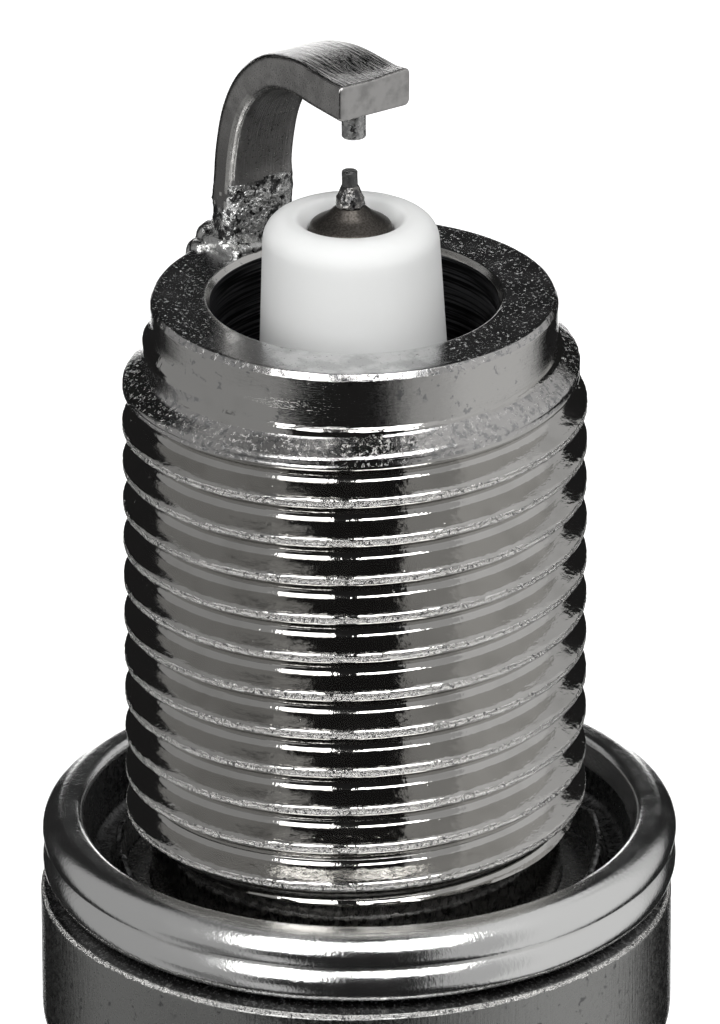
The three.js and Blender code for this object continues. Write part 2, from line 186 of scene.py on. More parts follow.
def arc(centre, radii, first, last, steps=10):
    """Corners along part of an ellipse, in degrees from +R towards +Z."""
    turns = np.radians(np.linspace(first, last, steps + 1))
    return [
        (centre[0] + radii[0] * math.cos(turn), centre[1] + radii[1] * math.sin(turn), 0)
        for turn in turns
    ]


def subdivided(outline, longest):
    """The outline with no stretch longer than the given length."""
    points = [outline[0]]
    for start, end in zip(outline[:-1], outline[1:]):
        pieces = max(1, math.ceil(np.linalg.norm(end - start) / longest))
        for piece in range(1, pieces + 1):
            points.append(start + (end - start) * piece / pieces)
    return np.array(points)


# ---------- meshes


def shown(name, data):
    """New object in the scene."""
    made = bpy.data.objects.new(name, data)
    bpy.context.scene.collection.objects.link(made)
    return made


def make_object(name, vertices, faces, sharp_degrees=38):
    """Mesh object from vertices in metres, with coincident vertices joined."""
    same_place = 1e-7
    mesh = bpy.data.meshes.new(name)
    mesh.from_pydata(vertices.tolist(), [], faces.tolist())
    work = bmesh.new()
    work.from_mesh(mesh)
    bmesh.ops.remove_doubles(work, verts=work.verts, dist=same_place)
    bmesh.ops.dissolve_degenerate(work, dist=same_place, edges=work.edges)
    bmesh.ops.recalc_face_normals(work, faces=work.faces)
    work.to_mesh(mesh)
    work.free()
    mesh.shade_smooth()
    mesh.set_sharp_from_angle(angle=math.radians(sharp_degrees))
    return shown(name, mesh)


def grid_faces(rows, columns):
    """Quads of a grid of vertices."""
    row, column = np.meshgrid(np.arange(rows - 1), np.arange(columns - 1), indexing="ij")
    first = (row * columns + column).ravel()
    return np.stack([first, first + 1, first + columns + 1, first + columns], axis=1)


def angles(columns):
    """Angles of a turned grid: the last column closes the turn."""
    return np.linspace(0, 2 * math.pi, columns + 1)


def turned_grid(outline, columns):
    """Radius and height of every vertex of a turned mesh."""
    radius = np.repeat(outline[:, :1], columns + 1, axis=1)
    height = np.repeat(outline[:, 1:], columns + 1, axis=1)
    return radius, height


def wrap(radius, height, columns):
    """Vertices in millimetres of a turned grid, of shape (rows, columns + 1, 3)."""
    turn = angles(columns)
    turn[-1] = 0
    return np.stack([radius * np.cos(turn), radius * np.sin(turn), height], axis=-1)


def from_grid(name, points, **options):
    rows, columns = points.shape[:2]
    return make_object(name, points.reshape(-1, 3) * MM, grid_faces(rows, columns), **options)


def open_grid(corners, longest, columns):
    """Radius and height of every vertex of a turned stretch that doesn't close."""
    return turned_grid(subdivided(rounded(corners, False), longest), columns)


def stacked(grids, columns):
    """Vertices of turned stretches that stand on each other."""
    radii, levels = zip(*grids)
    return wrap(np.vstack(radii), np.vstack(levels), columns)


def turned_points(corners, longest, columns):
    """Vertices of a turned piece whose outline starts on the axis, or closes if it doesn't."""
    outline = subdivided(rounded(corners, corners[0][0] > 0), longest)
    return wrap(*turned_grid(outline, columns), columns)


def turned(name, corners, columns=SMALL_COLUMNS, longest=0.3, grain=None, leans=False):
    """Turned piece with a grain and a lean. Its corners run up the outside."""
    points = turned_points(corners, longest, columns)
    if grain:
        points = roughened(points, *grain)
    if leans:
        points = leaning(points)
    return from_grid(name, points)


def from_axis(points):
    return np.linalg.norm(points[..., :2], axis=-1)


def roughened(points, size, depth, low=-1e9, high=1e9):
    """Points pushed in and out from the axis by noise, between two heights."""
    radius = from_axis(points)
    height = points[..., 2]
    band = smoothstep(height, low, low + size) * smoothstep(-height, -high, -high + size)
    scale = 1 + depth * fractal(points / size) * band / np.maximum(radius, 0.2)
    points[..., :2] *= scale[..., None]
    return points


def vectors(items, attribute):
    """A vector attribute of all vertices or faces of a mesh, as an array."""
    values = np.empty(len(items) * 3)
    items.foreach_get(attribute, values)
    return values.reshape(-1, 3)


def faces_of(piece):
    """Centres in millimetres, and normals, of a piece's faces."""
    faces = piece.data.polygons
    return vectors(faces, "center") / MM, vectors(faces, "normal")


def paint(piece, finishes, index):
    """Gives a piece its finishes, and each of its faces the one with its index."""
    for finish in finishes:
        piece.data.materials.append(finish)
    piece.data.polygons.foreach_set("material_index", index)


# ---------- threads


def thread_rows(crest_radius, pitch, land, fillet, lip):
    """One pitch of a rolled thread, from root to root: offsets from the crest, and radii.

    The flanks stand at 60 degrees to each other. The root is a round fillet. The crest has two
    low lips with a fine seam between them, as rolling leaves it.
    """
    slope = math.tan(math.radians(60))
    centre = crest_radius - (pitch / 2 - land) * slope + 2 * fillet
    rise = [
        (fillet * math.sin(angle) - pitch / 2, centre - fillet * math.cos(angle))
        for angle in np.radians(range(0, 61, 10))
    ]
    flank_end = (-1.25 * land, crest_radius - 0.25 * land * slope)
    rise += [tuple(point) for point in np.linspace(rise[-1], flank_end, 6)[1:]]
    rise += [
        (-0.95 * land, crest_radius - 0.3 * lip),
        (-0.6 * land, crest_radius),
        (-0.2 * land, crest_radius - 0.3 * lip),
    ]
    fall = [(-offset, radius) for offset, radius in reversed(rise)]
    return rise + [(0.0, crest_radius - lip)] + fall[:-1]


def thread_grid(low, high, pitch, phase, profile, columns):
    """Radius, height, crest height and offset of a helical thread between two heights.

    The rows climb one pitch in a turn and are held at the band's ends.
    """
    turns = range(math.floor((low - phase) / pitch) - 2, math.ceil((high - phase) / pitch) + 2)
    rows = np.array([(turn, *point) for turn in turns for point in profile])
    turn, offset, radius = rows.T
    climb = pitch * angles(columns) / (2 * math.pi)
    crest_height = (phase + turn * pitch)[:, None] + climb[None, :]
    height = np.clip(crest_height + offset[:, None], low, high)
    radius = np.repeat(radius[:, None], columns + 1, axis=1)
    return radius, height, crest_height, offset


def thread_start(crest_height, offset, profile):
    """Radius of the shell's thread where it starts: its ridge fades into the nose in one turn.

    The fading ridge has a long upper slope, because the blank is chamfered below the nose.
    """
    offsets = np.array([point[0] for point in profile] + [THREAD_PITCH / 2])
    radii = np.array([point[1] for point in profile] + [profile[0][1]])
    root, crest = radii.min(), radii.max()
    progress = (crest_height - THREAD_FULL) / THREAD_PITCH
    across = offset[:, None]
    broad = smoothstep(progress, -0.25, 0.12) * (1 - smoothstep(progress, 0.6, 1.0))
    lower_slope = np.minimum(across + 0.1 * broad, 0)
    narrowed = np.where(across > 0, across / (1 + 0.45 * broad), lower_slope)
    share = (np.interp(narrowed, offsets, radii) - root) / (crest - root)
    before, beyond = np.minimum(progress, 0), np.clip(progress, 0, 1)
    lost = np.clip(0.09 + 0.3 * before, 0, 1) + 0.5 * beyond + 0.41 * beyond ** 2
    ridge = crest - (crest - NOSE_RADIUS) * np.clip(lost, 0, 1)
    floor_progress = np.where(across > 0, progress, progress - 1)
    floor = root + (NOSE_RADIUS - root) * smoothstep(floor_progress, -0.35, 0.05)
    return floor + share * (ridge - floor)


def hexagon_limit(columns):
    """Distance from the axis to the hexagon's flats, for each column. Flats face +Y and -Y."""
    turn = angles(columns) - math.pi / 2
    sixth = math.pi / 3
    from_flat = (turn + sixth / 2) % sixth - sixth / 2
    return HEX_FLAT / np.cos(from_flat)


# ---------- node helpers


class Finish:
    """A procedural material, made node by node. Sizes and depths are in millimetres."""

    def __init__(self, name, metallic=1.0):
        self.material = bpy.data.materials.new(name)
        self.material.use_nodes = True
        self.tree = self.material.node_tree
        self.shader = self.tree.nodes["Principled BSDF"]
        self.set("Metallic", metallic)
        self.place = self.node("ShaderNodeTexCoord").outputs["Object"]
        self.normal = None

    def node(self, kind, **settings):
        made = self.tree.nodes.new(kind)
        for name, value in settings.items():
            setattr(made, name, value)
        return made

    def feed(self, socket, value):
        """Links a socket, or sets it to a number or a colour."""
        if isinstance(value, bpy.types.NodeSocket):
            self.tree.links.new(value, socket)
        else:
            socket.default_value = (*value, 1) if isinstance(value, tuple) else value

    def set(self, name, value):
        self.feed(self.shader.inputs[name], value)

    def math(self, operation, first, second=0.0):
        made = self.node("ShaderNodeMath", operation=operation)
        self.feed(made.inputs[0], first)
        self.feed(made.inputs[1], second)
        return made.outputs[0]

    def scaled(self, *sizes):
        """Coordinates in features of the given sizes along X, Y and Z."""
        made = self.node("ShaderNodeVectorMath", operation="MULTIPLY")
        self.feed(made.inputs[0], self.place)
        made.inputs[1].default_value = [1 / (size * MM) for size in sizes]
        return made.outputs[0]

    def parts(self):
        """The coordinates X, Y and height."""
        split = self.node("ShaderNodeSeparateXYZ")
        self.feed(split.inputs[0], self.scaled(1, 1, 1))
        return split.outputs

    def noise_at(self, vector, detail=3.0, roughness=0.55):
        """Noise from 0 to 1, with one feature for each unit of the vector."""
        made = self.node("ShaderNodeTexNoise")
        self.feed(made.inputs["Vector"], vector)
        for name, value in (("Scale", 1.0), ("Detail", detail), ("Roughness", roughness)):
            self.feed(made.inputs[name], value)
        return made.outputs["Fac"]

    def noise(self, size, *options):
        return self.noise_at(self.scaled(size, size, size), *options)

    def streaks(self, along, across, *options):
        """Noise drawn out round the axis, on walls that stand upright."""
        return self.noise_at(self.scaled(along, along, across), *options)

    def rings(self, along, across, *options):
        """Noise drawn out round the axis, on faces and flanks that cross its radius."""
        for_height = 1.7          # features in a millimetre of height, so that flanks differ
        x, y, height = self.parts()
        squares = self.math("ADD", self.math("MULTIPLY", x, x), self.math("MULTIPLY", y, y))
        outwards = self.math("MULTIPLY", self.math("SQRT", squares), 1 / across)
        made = self.node("ShaderNodeCombineXYZ")
        self.feed(made.inputs[0], self.math("MULTIPLY", x, 1 / along))
        self.feed(made.inputs[1], self.math("MULTIPLY", y, 1 / along))
        upwards = self.math("MULTIPLY", height, for_height)
        self.feed(made.inputs[2], self.math("ADD", outwards, upwards))
        return self.noise_at(made.outputs[0], *options)

    def cells(self, size):
        """Distance to the nearest of scattered points."""
        made = self.node("ShaderNodeTexVoronoi")
        self.feed(made.inputs["Vector"], self.scaled(size, size, size))
        self.feed(made.inputs["Scale"], 1.0)
        return made.outputs["Distance"]

    def ramp(self, value, low, high, out_low=0.0, out_high=1.0):
        made = self.node("ShaderNodeMapRange", interpolation_type="SMOOTHSTEP")
        for socket, number in zip(made.inputs, (value, low, high, out_low, out_high)):
            self.feed(socket, number)
        return made.outputs["Result"]

    def mix(self, share, first, second):
        """Mix of two colours by a share from 0 to 1."""
        made = self.node("ShaderNodeMix", data_type="RGBA")
        self.feed(made.inputs["Factor"], share)
        self.feed(made.inputs[6], first)
        self.feed(made.inputs[7], second)
        return made.outputs[2]

    def bump(self, height, depth):
        """Adds a bump, as deep as given for a height change of one."""
        made = self.node("ShaderNodeBump")
        self.feed(made.inputs["Distance"], depth * MM)
        self.feed(made.inputs["Height"], height)
        if self.normal is not None:
            self.feed(made.inputs["Normal"], self.normal)
        self.normal = made.outputs["Normal"]

    def gloss(self, value, smooth, rough, low=0.3, high=0.7):
        """Roughness that climbs as a noise does."""
        self.set("Roughness", self.ramp(value, low, high, smooth, rough))

    def colour(self, share, first, second):
        self.set("Base Color", self.mix(share, first, second))

    def done(self):
        self.set("Normal", self.normal)
        return self.material


# ---------- finishes

PLATE = (0.63, 0.62, 0.6)


def thread_finish():
    """Bright plating over rolled flanks: fine circular lines, specks, faint clouding."""
    finish = Finish("thread_plating")
    clouds = finish.noise(1.4, 2.0)
    finish.bump(finish.rings(2.2, 0.05), 0.0012)
    finish.bump(finish.rings(0.35, 0.16), 0.012)
    finish.bump(finish.ramp(finish.cells(0.55), 0.05, 0.09), 0.004)
    finish.gloss(clouds, 0.05, 0.11, 0.35, 0.75)
    finish.colour(finish.ramp(clouds, 0.4, 0.8), PLATE, (0.55, 0.54, 0.52))
    return finish.done()


def edge_highlight_finish():
    """Torn and flattened metal of the crests, with small facets and dark nicks; its colour,
    lighter than the plating, is a painted highlight along the crests and the collar's edge.
    """
    finish = Finish("burred_edge_highlight")
    grain = finish.noise(0.09, 5.0, 0.75)
    pits = finish.ramp(finish.noise(0.09, 4.0), 0.55, 0.63)
    finish.bump(grain, 0.09)
    finish.bump(finish.streaks(0.3, 0.05, 4.0, 0.7), 0.02)
    finish.gloss(grain, 0.12, 0.26)
    # The light tone is a painted highlight; the dark tone is the real nicks.
    finish.colour(pits, (0.78, 0.77, 0.75), (0.2, 0.2, 0.2))
    return finish.done()


def chamfer_finish():
    """Chamfer where the thread starts, and the nose's bevel: turned, then lightly scuffed."""
    finish = Finish("scuffed_chamfer")
    grain = finish.noise(0.12, 5.0, 0.65)
    worn = finish.ramp(finish.noise(0.3, 5.0, 0.7), 0.5, 0.6)
    flecks = finish.ramp(finish.noise(0.14, 5.0, 0.7), 0.57, 0.66)
    finish.bump(grain, 0.006)
    finish.bump(finish.streaks(0.5, 0.06, 4.0, 0.7), 0.005)
    finish.bump(flecks, 0.009)
    finish.gloss(grain, 0.05, 0.11)
    finish.colour(worn, (0.6, 0.59, 0.58), (0.42, 0.42, 0.42))
    return finish.done()


def nose_finish():
    """Plated turned nose: turning lines round the axis and patches of stain."""
    finish = Finish("nose_plating")
    streaks = finish.streaks(0.5, 0.06, 4.0, 0.7)
    patches = finish.noise(0.35, 5.0, 0.65)
    finish.bump(finish.streaks(1.2, 0.03, 4.0, 0.7), 0.005)
    finish.bump(streaks, 0.006)
    finish.bump(patches, 0.004)
    finish.gloss(streaks, 0.05, 0.12, 0.35, 0.65)
    finish.colour(finish.ramp(patches, 0.6, 0.66), PLATE, (0.4, 0.4, 0.4))
    return finish.done()


def face_finish():
    """End face: worn bright plating with sparse nicks and short scratches."""
    finish = Finish("end_face")
    nicks = finish.ramp(finish.noise(0.11, 4.0, 0.7), 0.6, 0.76)
    wear = finish.noise(0.8, 4.0, 0.6)
    finish.bump(finish.noise(0.06), 0.002)
    finish.bump(finish.rings(0.7, 0.06, 4.0, 0.7), 0.003)
    finish.bump(nicks, 0.009)
    finish.gloss(wear, 0.11, 0.19, 0.35, 0.65)
    finish.colour(finish.ramp(wear, 0.4, 0.6), (0.68, 0.68, 0.68), (0.5, 0.5, 0.5))
    return finish.done()


def bore_shade_finish():
    """Bore: near-black, a painted shade of the deep hole, with fine turning rings."""
    finish = Finish("bore")
    grooves = finish.streaks(3.0, 0.07, 2.0)
    finish.bump(grooves, 0.02)
    finish.gloss(grooves, 0.3, 0.5)
    finish.colour(finish.ramp(grooves, 0.4, 0.65), (0.04, 0.04, 0.042), (0.2, 0.2, 0.21))
    return finish.done()


def collar_finish():
    """Collar and hexagon: duller plating with rub marks, scratches and pits."""
    finish = Finish("collar_plating")
    cloth = finish.noise(0.16, 6.0, 0.7)
    pits = finish.ramp(finish.noise(0.3, 4.0), 0.62, 0.7)
    finish.bump(cloth, 0.007)
    finish.bump(finish.streaks(0.09, 1.1, 4.0, 0.65), 0.012)
    finish.gloss(cloth, 0.14, 0.34)
    finish.colour(pits, (0.35, 0.35, 0.34), (0.17, 0.17, 0.17))
    return finish.done()


def gasket_finish():
    """Rolled sheet steel: satin plating, orange-peel at the fold."""
    finish = Finish("gasket_plating")
    finish.bump(finish.noise(0.11, 3.0, 0.6), 0.008)
    finish.bump(finish.streaks(1.0, 0.05), 0.002)
    finish.gloss(finish.noise(1.2), 0.13, 0.2)
    finish.set("Base Color", (0.92, 0.92, 0.91))
    return finish.done()


def alumina_finish():
    """Matt white alumina with faint specks."""
    finish = Finish("alumina", 0.0)
    specks = finish.ramp(finish.noise(0.35), 0.75, 0.8)
    finish.bump(finish.noise(0.05), 0.0012)
    finish.colour(specks, (0.69, 0.695, 0.69), (0.58, 0.58, 0.57))
    finish.set("Roughness", 0.7)
    finish.set("Specular IOR Level", 0.15)
    finish.set("Subsurface Weight", 0.8)
    finish.set("Subsurface Scale", 0.7 * MM)
    finish.shader.inputs["Subsurface Radius"].default_value = (1, 1, 1)
    return finish.done()


def strap_finish(name, colour, smooth, rough, line_depth, foot_share=1.0):
    """Drawn nickel alloy, with lines along the strap and a fine grain, darker towards the foot."""
    finish = Finish(name)
    grain = finish.noise(0.09, 5.0, 0.7)
    blotches = finish.ramp(finish.noise(0.5, 4.0), 0.4, 0.7)
    darker = tuple(0.7 * part for part in colour)
    at_foot = tuple(foot_share * part for part in colour)
    height = finish.parts()[2]
    finish.bump(grain, 0.004)
    finish.bump(finish.noise_at(finish.scaled(1.5, 0.06, 1.5)), line_depth)
    finish.gloss(grain, smooth, rough)
    finish.colour(finish.ramp(height, 21.5, 24.5), at_foot, finish.mix(blotches, colour, darker))
    return finish.done()


def weld_finish(name, depth, scale_from):
    """Weld metal: glossy frozen ripples among dark scale."""
    finish = Finish(name)
    ripples = finish.noise(0.28, 4.0, 0.6)
    scale = finish.ramp(finish.noise(0.3, 5.0, 0.65), scale_from, scale_from + 0.05)
    finish.bump(ripples, depth)
    finish.gloss(ripples, 0.1, 0.25)
    finish.colour(scale, (0.62, 0.62, 0.61), (0.06, 0.06, 0.06))
    return finish.done()


def electrode_finish():
    """Centre electrode's cone: turned, brown-grey."""
    finish = Finish("electrode_nickel")
    grain = finish.noise(0.06, 4.0)
    finish.bump(finish.streaks(0.5, 0.03, 4.0), 0.004)
    finish.bump(grain, 0.004)
    finish.set("Roughness", 0.42)
    finish.colour(finish.ramp(grain, 0.35, 0.7), (0.06, 0.054, 0.048), (0.12, 0.11, 0.1))
    return finish.done()


def terminal_finish():
    """Plated terminal: turned, with light rub marks."""
    finish = Finish("terminal_plating")
    finish.bump(finish.streaks(2.0, 0.04), 0.003)
    finish.gloss(finish.noise(0.7), 0.12, 0.24)
    finish.set("Base Color", (0.66, 0.65, 0.63))
    return finish.done()


def grained(name, noise, depth, gloss, tones, band=(0.4, 0.6), metallic=1.0):
    """Finish whose one noise gives its bumps, its gloss and the mix of its two tones."""
    finish = Finish(name, metallic)
    grain = finish.noise(*noise)
    finish.bump(grain, depth)
    finish.gloss(grain, *gloss)
    finish.colour(finish.ramp(grain, *band), *tones)
    return finish.done()


def seat_shade_finish():
    """Gasket seat: plating tinted dark, a painted shade under the gasket."""
    tones = (0.1, 0.1, 0.1), (0.32, 0.32, 0.32)
    return grained("gasket_seat_shade", (0.12, 5.0, 0.7), 0.01, (0.15, 0.3), tones, (0.45, 0.7))


def skirt_shade_finish():
    """Inside of the gasket: sheet steel tinted dark, a painted shade of the recess under the roll.
    """
    tones = (0.08, 0.08, 0.08), (0.26, 0.26, 0.26)
    return grained("gasket_inside_shade", (0.2, 5.0, 0.7), 0.01, (0.2, 0.4), tones, (0.4, 0.7))


def glaze_finish():
    """Glazed alumina behind the crimp."""
    tone = (0.91, 0.91, 0.9)
    return grained("glaze", (1.1, 2.0), 0.01, (0.06, 0.12), (tone, tone), metallic=0.0)


def precious_finish():
    """Cut iridium: dark and fine-grained."""
    tone = (0.13, 0.13, 0.13)
    return grained("iridium", (0.12, 4.0), 0.03, (0.22, 0.42), (tone, tone))


def pin_finish():
    """Drawn platinum alloy pin: pale grey, mottled."""
    tones = (0.34, 0.34, 0.34), (0.55, 0.55, 0.54)
    return grained("platinum", (0.15, 4.0), 0.03, (0.18, 0.34), tones)


def nugget_finish():
    """Weld nugget under the tip: dark and glossy."""
    tones = (0.08, 0.08, 0.08), (0.28, 0.27, 0.26)
    return grained("tip_nugget", (0.2, 4.0), 0.05, (0.12, 0.3), tones)


def plain_finish(name, colour, metallic, roughness, size, depth):
    """Finish of a sealed inner piece: one colour broken by its grain."""
    darker = tuple(0.75 * part for part in colour)
    gloss = (roughness, roughness)
    return grained(name, (size, 4.0), depth, gloss, (darker, colour), (0.35, 0.65), metallic)


# ---------- shell


def shell_piece():
    """Shell with its rolled thread, collar, hexagon and crimped lip."""
    lip_radius = 5.14
    below = [
        (lip_radius, CRIMP_BOTTOM + 0.15, 0.1), (lip_radius + 0.3, CRIMP_BOTTOM, 0.1),
        (6.6, CRIMP_BOTTOM + 0.1, 0.9), (7.35, CRIMP_BOTTOM + 1.4, 1.0), (7.35, HEX_BOTTOM, 0.15),
        (8.0, HEX_BOTTOM, 0.1), (9.2, HEX_BOTTOM + 0.62, 0.15), (9.2, HEX_TOP - 0.62, 0.15),
        (8.0, HEX_TOP, 0.1), (7.45, HEX_TOP, 0.25), (7.45, COLLAR_BOTTOM, 0.25),
        (8.6, COLLAR_BOTTOM, 0.8), (COLLAR_RADIUS, -4.6, 1.4), (COLLAR_RADIUS, -0.36, 0.1),
        (9.46, -0.24, 0.08), (8.7, 0, 0.1), (RELIEF_RADIUS, 0, 0.12),
        (RELIEF_RADIUS, THREAD_LAST, 0),
    ]
    above = [
        (NOSE_RADIUS, THREAD_FIRST, 0), (NOSE_RADIUS, REACH - 0.2, 0.06),
        (NOSE_RADIUS - 0.1, REACH, 0.05), (MOUTH_RADIUS, REACH, 0.07),
        (BORE_RADIUS, REACH - 0.16, 0.08), (BORE_RADIUS, 11.3, 0.1), (3.72, 10.6, 0.1),
        (3.72, 9.0, 0.1), (4.42, 8.2, 0.1), (4.42, -2.4, 0.1), (5.95, -3.3, 0.1),
        (5.95, CRIMP_BOTTOM + 1.05, 0.1), (lip_radius, CRIMP_BOTTOM + 0.5, 0.1),
        (lip_radius, CRIMP_BOTTOM + 0.15, 0),
    ]
    low_radius, low_height = open_grid(below, 0.25, COLUMNS)
    in_hexagon = (low_height < HEX_TOP + 0.01) & (low_height > HEX_BOTTOM - 0.01)
    within_flats = np.minimum(low_radius, hexagon_limit(COLUMNS))
    low_radius = np.where(in_hexagon, within_flats, low_radius)
    profile = thread_rows(THREAD_RADIUS, THREAD_PITCH, THREAD_LAND, THREAD_FILLET, 0.035)
    _, thread_height, crest_height, offset = thread_grid(
        THREAD_LAST, THREAD_FIRST, THREAD_PITCH, THREAD_PHASE, profile, COLUMNS,
    )
    thread_radius = thread_start(crest_height, offset, profile)
    ledge = NOSE_RADIUS + 0.12 * smoothstep(-thread_height, -17.34, -17.22)
    above_groove = smoothstep(thread_height, 16.75, 16.95)
    thread_radius = np.maximum(thread_radius, ledge * above_groove)
    runout = RELIEF_RADIUS + 1.2 * (thread_height - THREAD_LAST)
    thread_radius = np.minimum(thread_radius, runout)
    threads = thread_radius, thread_height
    grids = [(low_radius, low_height), threads, open_grid(above, 0.15, COLUMNS)]
    return from_grid("shell_fine", burred(stacked(grids, COLUMNS)))


def burred(points):
    """Rough lips on the thread's crests, and small dents on the edges of nose and collar."""
    radius = from_axis(points)
    height = points[..., 2]
    on_thread = smoothstep(height, 1.8, 2.4) * smoothstep(-height, -17.5, -17.0)
    near_crest = smoothstep(radius, THREAD_RADIUS - 0.12, THREAD_RADIUS - 0.03) * on_thread
    chatter = fractal(points / 0.16)
    chips = np.minimum(0, value_noise(points / 0.7 + 5.1) + 0.55)
    push = near_crest * (0.016 * chatter + 0.05 * chips)
    on_start = smoothstep(radius, 6.3, 6.5) * smoothstep(height, 16.4, 16.9)
    push = push + on_start * 0.02 * chatter
    on_edge = smoothstep(radius, 5.9, 6.0) * smoothstep(height, REACH - 0.3, REACH - 0.2)
    on_edge += smoothstep(radius, 9.2, 9.3) * smoothstep(height, -0.42, -0.3) * (height < 0.01)
    push = push + on_edge * 0.015 * fractal(points / 0.2 + 3.3)
    rise = near_crest * 0.012 * fractal(points / 0.3 + 9.7, 2)
    points[..., :2] *= (1 + push / np.maximum(radius, 1))[..., None]
    points[..., 2] += rise
    return points


def paint_shell(piece):
    """Gives each region of the shell its own finish."""
    finishes = [thread_finish(), nose_finish(), face_finish(), bore_shade_finish(), collar_finish(),
                edge_highlight_finish(), seat_shade_finish(), chamfer_finish()]
    thread, nose, face, bore, collar, edge, seat, chamfer = range(8)
    centres, normals = faces_of(piece)
    radius = from_axis(centres)
    height = centres[:, 2]
    turned_by = np.arctan2(centres[:, 1], centres[:, 0]) / (2 * math.pi)
    pitches = (height - THREAD_PHASE) / THREAD_PITCH - turned_by
    from_crest = np.abs(pitches - np.round(pitches)) * THREAD_PITCH
    ragged = 0.03 * fractal(centres / 0.2)
    crest_below = height - (pitches + 0.08 - np.floor(pitches + 0.08)) * THREAD_PITCH
    on_first = (crest_below > 15.9) & (crest_below < 17.2) & (radius > NOSE_RADIUS + 0.12)
    index = np.full(len(centres), thread)
    # Crest band: the lighter edge finish, a painted highlight on the torn crests.
    index[(radius > 6.5) & (from_crest < THREAD_LAND - 0.02 + 1.3 * ragged)] = edge
    index[on_first & (height > 16)] = chamfer
    index[(radius < NOSE_RADIUS + 0.05) & (height > 16.5)] = nose
    index[(height > REACH - 0.19 + ragged) & (radius > NOSE_RADIUS - 0.12)] = chamfer
    index[(height > REACH - 0.01) & (normals[:, 2] > 0.97)] = face
    # The bore takes the near-black bore finish: painted shade.
    index[(radius < MOUTH_RADIUS) & (height < REACH - 0.16)] = bore
    index[(height < 0.3) & (radius > 6.25)] = collar
    # The seat band under the gasket takes the dark seat finish: painted shade.
    index[(height > -0.22 + ragged) & (height < 0.01) & (radius > 8.3)] = seat
    # Collar's edge line: the lighter edge finish, a painted highlight.
    index[(np.abs(height + 0.3) < 0.045 + 1.5 * ragged) & (radius > 9.3)] = edge
    paint(piece, finishes, index)


# ---------- gasket

GASKET_SHIFT = 0.1            # the loose gasket lies a little off the axis
STAKES = (-132, -112, 48, 68)  # degrees where the inner lip is staked over the thread


def gasket_piece():
    """Folded crush gasket: two rolled layers that meet at a seam, and an inner skirt."""
    lower_roll = arc((GASKET_RADIUS - 0.6, 0.7), (0.6, 0.66), -90, 52)
    upper_roll = arc((GASKET_RADIUS - 0.68, GASKET_TOP - 0.64), (0.68, 0.64), -26, 90, 14)
    rim = arc((8.64, GASKET_TOP - 0.26), (0.27, 0.26), 90, 178, 8)
    corners = [(7.15, 0.04, 0), *lower_roll, (9.33, 1.27, 0), (9.34, 1.31, 0), *upper_roll, *rim]
    corners += [
        (8.25, 1.2, 0.3), (8.12, 0.5, 0.3), (7.5, 0.46, 0.15), (7.38, 0.9, 0.1),
        (7.17, 0.94, 0.1),
    ]
    points = roughened(turned_points(corners, 0.1, COLUMNS), 2.5, 0.02)
    turn = np.arctan2(points[..., 1], points[..., 0])
    radius = from_axis(points)
    for degrees in STAKES:
        across = (turn - math.radians(degrees) + math.pi) % (2 * math.pi) - math.pi
        near = np.exp(-(across * radius / 0.75) ** 2) * smoothstep(-radius, -7.8, -7.4)
        points[..., 2] += 0.32 * near * (points[..., 2] > 0.6)
    points[..., :2] += GASKET_SHIFT * RIGHTWARDS
    piece = from_grid("gasket_fine", points)
    centres, _ = faces_of(piece)
    # Faces inside the gasket, in the recess under its roll, take the dark finish: painted shade.
    inside = (from_axis(centres) < 8.36) & (centres[:, 2] < 2.0)
    paint(piece, [gasket_finish(), skirt_shade_finish()], inside.astype(int))
    return piece


# ---------- insulator

LEAN = 0.017                  # sideways shift for each millimetre of height
LEAN_FROM = 15.5
GLAZE_TOP = -10.0


def leaning(points):
    """The fired insulator and its electrode lean a little to the camera's left at the tip."""
    points[..., :2] -= LEAN * np.maximum(points[..., 2:] - LEAN_FROM, 0) * RIGHTWARDS
    return points


def insulator_piece():
    """Alumina insulator: rounded nose and mouth, seat, flange and ribs."""
    neck = 5.1
    corners = [
        (2.0, INSULATOR_END, 0.15), (3.5, INSULATOR_END, 0.3), (3.75, INSULATOR_END + 0.6, 0.3),
        (4.2, -36.5, 0.6), (4.55, -33.0, 0.4),
    ]
    for rib in range(4, -1, -1):
        rib_top = -19.6 - rib * 3.0
        corners += [
            (4.5, rib_top - 1.0, 0.45), (4.5, rib_top - 0.4, 0.45), (neck, rib_top, 0.5),
            (neck, rib_top + 1.5, 0.5),
        ]
    corners[-1] = (neck, -16.0, 0.3)
    corners += [
        (neck, -12.0, 0.3), (5.85, -11.0, 0.3), (5.85, -3.8, 0.2), (4.34, -2.9, 0.2),
        (4.34, 7.9, 0.1), (3.5, 8.87, 0.1), (3.24, 9.25, 0.3), (2.8, 17.4, 4.0),
        *arc((1.87, INSULATOR_TIP - 0.76), (0.77, 0.76), 3, 90, 14),
        (1.62, INSULATOR_TIP, 0.3), (1.31, 21.1, 0.15), (1.31, 5.6, 0), (2.0, 5.6, 0),
    ]
    piece = turned("insulator_fine", corners, MEDIUM_COLUMNS, 0.4, leans=True)
    glazed = faces_of(piece)[0][:, 2] < GLAZE_TOP
    paint(piece, [alumina_finish(), glaze_finish()], glazed.astype(int))
    return piece


# ---------- centre electrode


